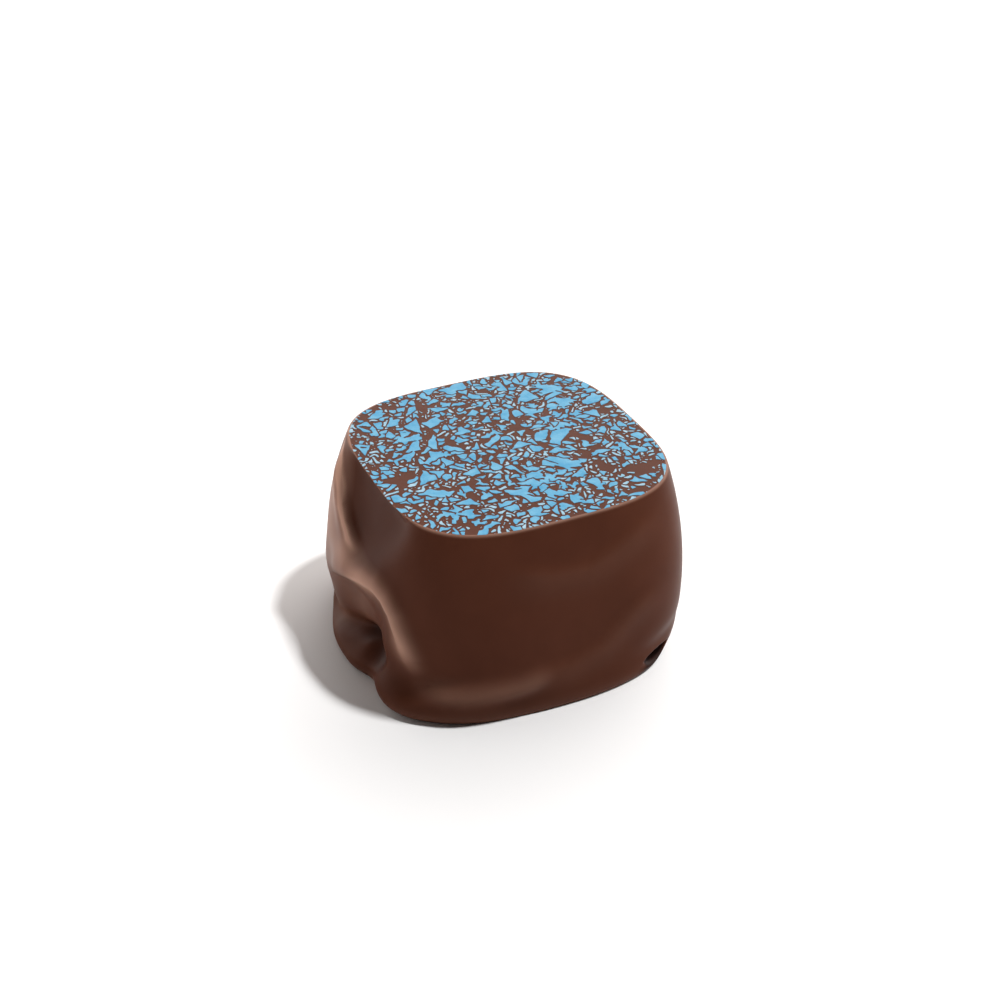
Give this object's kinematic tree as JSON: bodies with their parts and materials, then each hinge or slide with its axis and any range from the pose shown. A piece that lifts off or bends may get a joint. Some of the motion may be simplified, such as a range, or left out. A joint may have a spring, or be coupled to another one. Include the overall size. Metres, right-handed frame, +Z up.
{
  "type": "chocolate coated fudge square",
  "caption": "Small square of fudge in a milk chocolate coat with rounded corners, sagging walls and a soft foot, and a flat top printed with light blue flecks.",
  "frame": {"origin": "middle of the footprint, on the surface the sweet rests on", "axes": "+Z up, -Y towards the broad smooth side, -X towards the side with the pocket"},
  "size_m": [0.0302, 0.0294, 0.0176],
  "materials": {
    "chocolate": "satin milk chocolate",
    "print": "thin light blue cocoa butter print"
  },
  "bodies": {
    "root": {"chocolate_square": "chocolate"}
  },
  "joints": []
}
